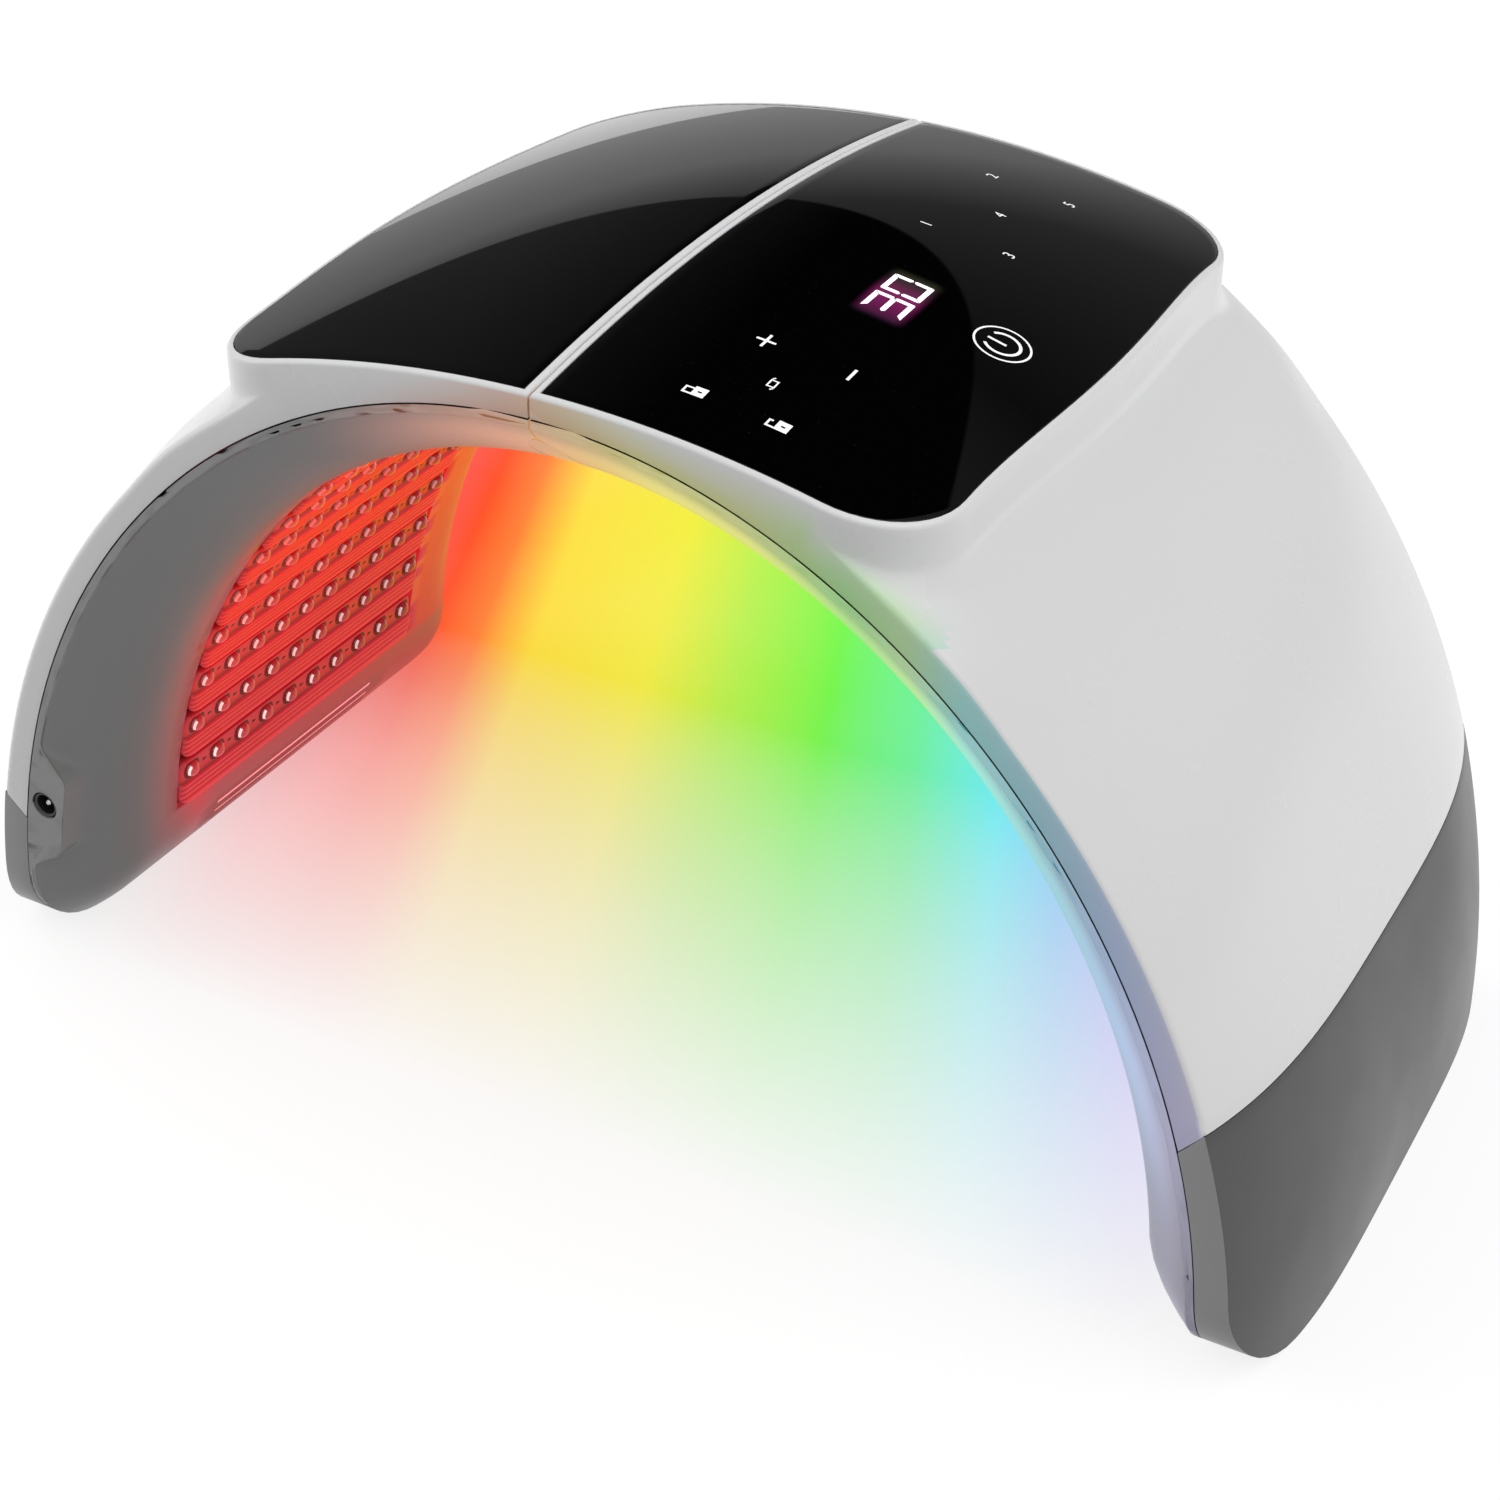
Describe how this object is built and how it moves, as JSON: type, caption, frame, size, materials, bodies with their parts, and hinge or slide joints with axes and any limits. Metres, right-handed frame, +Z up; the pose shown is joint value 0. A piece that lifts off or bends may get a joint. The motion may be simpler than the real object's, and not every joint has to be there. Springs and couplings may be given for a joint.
{
  "type": "folding light therapy arch",
  "caption": "Free-standing folding arch lamp: white shell halves hinged at the crown, black glass control top, grey legs and inner covers, stepped light panels inside.",
  "frame": {"origin": "on the standing surface, under the middle of the crown seam", "axes": "+Z up; +X across the arch to the right leg, the one under the display; -Y to the front rim with the power inlet"},
  "size_m": [0.403, 0.203, 0.2301],
  "materials": {
    "shell_white": "gloss",
    "cap_grey": "satin",
    "cover_grey": "satin",
    "lens_left": "clear lens over red light",
    "lens_right": "clear lens over coloured light",
    "board_white": "coated board",
    "board_green": "coated board",
    "glass_black": "polished, printed black behind",
    "display_black": "gloss",
    "inlet_black": "satin",
    "steel": "brushed",
    "lead_black": "matte"
  },
  "bodies": {
    "right_half": {"right_outer_shell": "shell_white", "right_leg_cap": "cap_grey", "right_inner_cover": "cover_grey", "right_lens_panel": "lens_right", "right_led_board": "board_white", "right_glass": "glass_black", "touch_board": "board_green", "display": "display_black", "control_board": "board_green", "control_board_screw_1": "steel", "control_board_screw_2": "steel", "control_board_screw_3": "steel", "control_board_screw_4": "steel", "right_hinge_leaf": "steel", "right_leaf_screw_1": "steel", "right_leaf_screw_2": "steel", "right_leaf_screw_3": "steel", "hinge_pin": "steel", "right_supply_lead": "lead_black"},
    "left_half": {"left_outer_shell": "shell_white", "left_leg_cap": "cap_grey", "left_inner_cover": "cover_grey", "left_lens_panel": "lens_left", "left_led_board": "board_white", "left_glass": "glass_black", "left_hinge_leaf": "steel", "left_leaf_screw_1": "steel", "left_leaf_screw_2": "steel", "left_leaf_screw_3": "steel", "inlet_jack": "inlet_black", "left_supply_lead": "lead_black"}
  },
  "joints": [
    {"name": "crown_fold", "type": "hinge", "parent": "right_half", "child": "left_half", "pos_m": [0, 0, 0.203], "axis": [0, -1, 0], "range_deg": [0, 81]}
  ]
}
